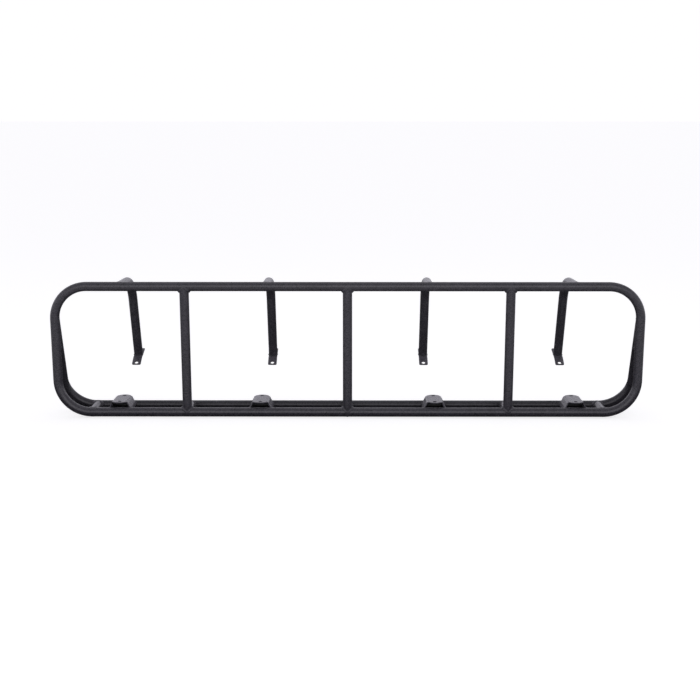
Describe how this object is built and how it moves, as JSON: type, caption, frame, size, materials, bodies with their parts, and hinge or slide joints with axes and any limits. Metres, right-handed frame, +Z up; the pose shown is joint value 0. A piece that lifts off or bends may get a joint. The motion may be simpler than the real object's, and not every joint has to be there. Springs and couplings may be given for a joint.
{
  "type": "ladder rack",
  "caption": "Wide low rack of bent round tube: a front loop with uprights, a leaning rear hoop, and arms that run back and down to bolted foot plates.",
  "frame": {"origin": "middle of the rack's footprint, on the surface that its two bottom rails stand on", "axes": "+X along the rack's width to the right, +Y from the front loop to the foot plates at the rear, +Z up"},
  "size_m": [1.6164, 0.2934, 0.3752],
  "materials": {
    "black_powder_coat": "fine-textured black powder coat on steel, satin to matte"
  },
  "bodies": {
    "root": {"front_loop_left": "black_powder_coat", "front_loop_right": "black_powder_coat", "upright_left": "black_powder_coat", "upright_center": "black_powder_coat", "upright_right": "black_powder_coat", "rear_hoop": "black_powder_coat", "cross_tube_1": "black_powder_coat", "cross_tube_2": "black_powder_coat", "cross_tube_3": "black_powder_coat", "cross_tube_4": "black_powder_coat", "cross_tube_5": "black_powder_coat", "rear_arm_1": "black_powder_coat", "rear_arm_2": "black_powder_coat", "rear_arm_3": "black_powder_coat", "rear_arm_4": "black_powder_coat", "foot_plate_1": "black_powder_coat", "foot_plate_2": "black_powder_coat", "foot_plate_3": "black_powder_coat", "foot_plate_4": "black_powder_coat", "saddle_bracket_1": "black_powder_coat", "saddle_bracket_2": "black_powder_coat", "saddle_bracket_3": "black_powder_coat", "saddle_bracket_4": "black_powder_coat"}
  },
  "joints": []
}
